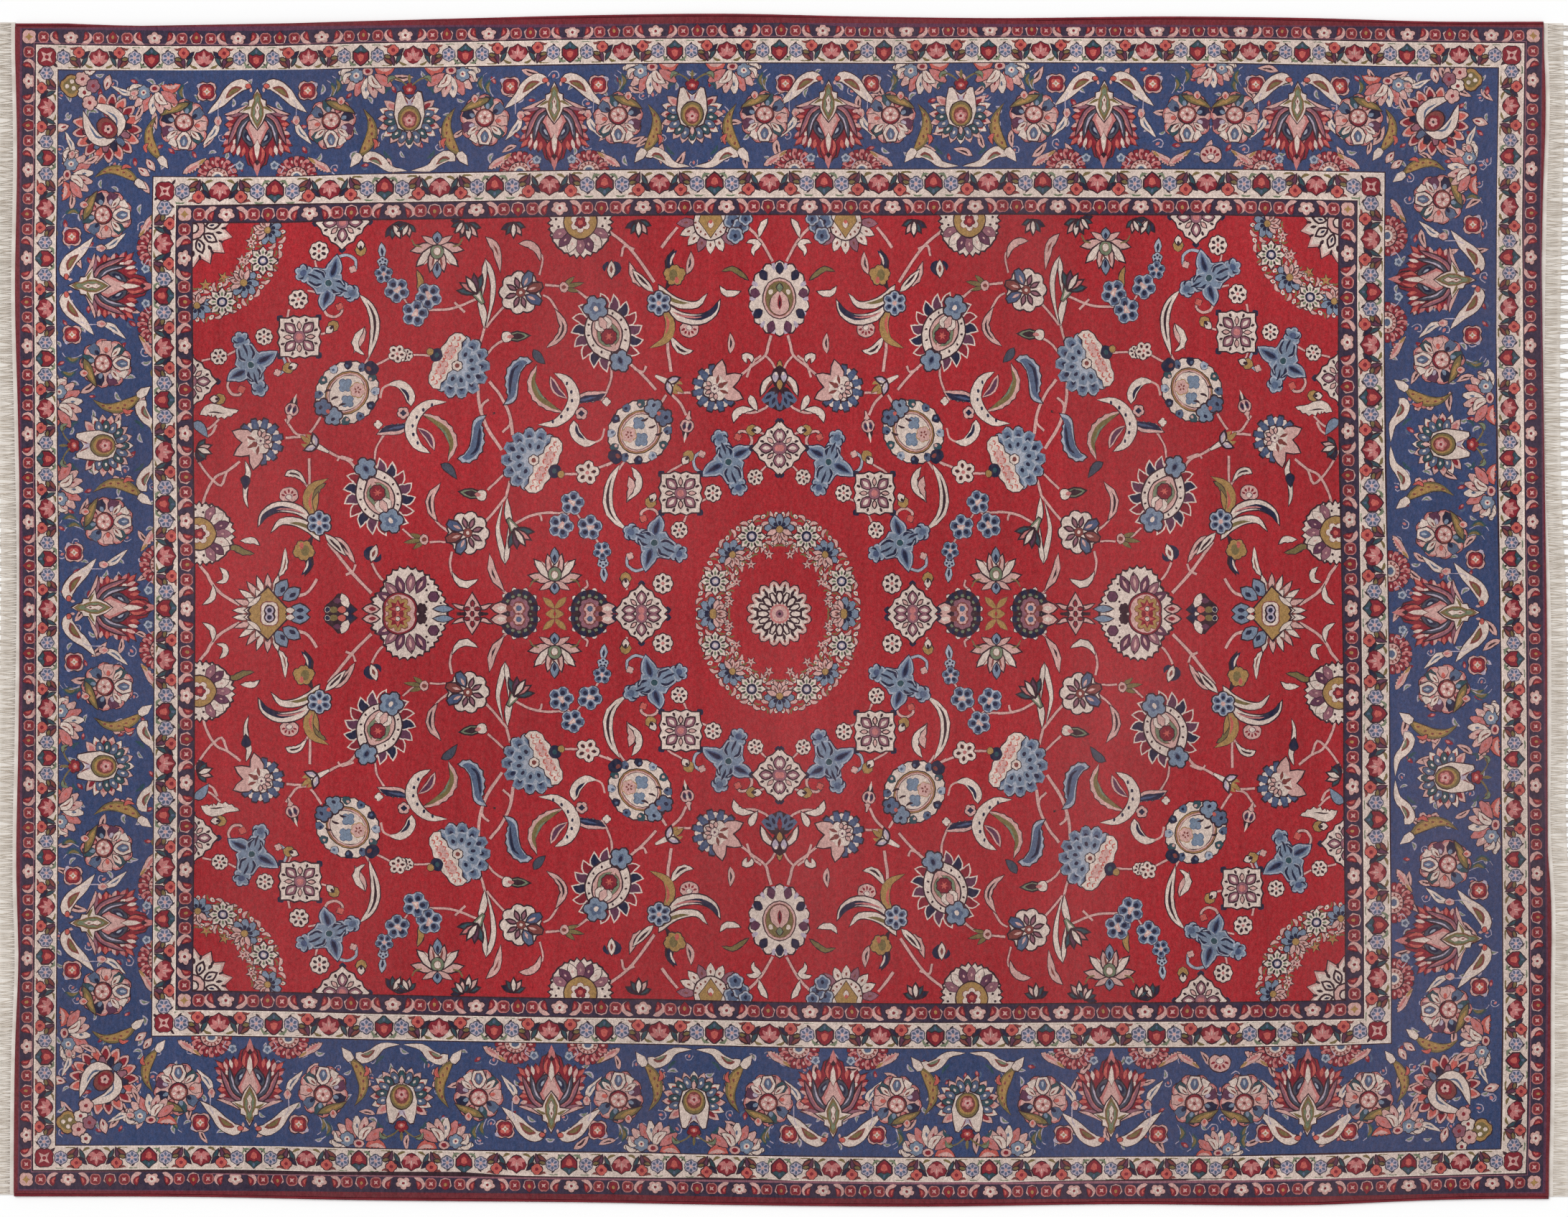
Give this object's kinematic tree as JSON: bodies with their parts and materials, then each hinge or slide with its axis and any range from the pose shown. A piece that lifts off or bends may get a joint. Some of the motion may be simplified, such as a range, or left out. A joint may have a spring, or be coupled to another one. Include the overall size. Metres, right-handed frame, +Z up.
{
  "type": "persian rug",
  "caption": "Room-size hand-knotted wool carpet lying flat, with wool-wrapped selvedges along its long sides and a cotton fringe along each end.",
  "frame": {"origin": "on the floor under the middle of the whole carpet, fringes included", "axes": "+X along the carpet's length, from one fringed end to the other; +Y across its width; +Z up out of the pile"},
  "size_m": [4.1194, 3.0352, 0.01],
  "materials": {
    "wool_pile": "short clipped wool pile, patterned in red, blue, navy, ivory, pink and gold",
    "wool_cord": "crimson wool yarn wrapped round the edge cord",
    "cotton": "undyed cotton, flat-woven web and loose warp ends"
  },
  "bodies": {
    "root": {"pile_carpet": "wool_pile", "selvedge_far": "wool_cord", "selvedge_near": "wool_cord", "fringe_left": "cotton", "fringe_right": "cotton"}
  },
  "joints": []
}
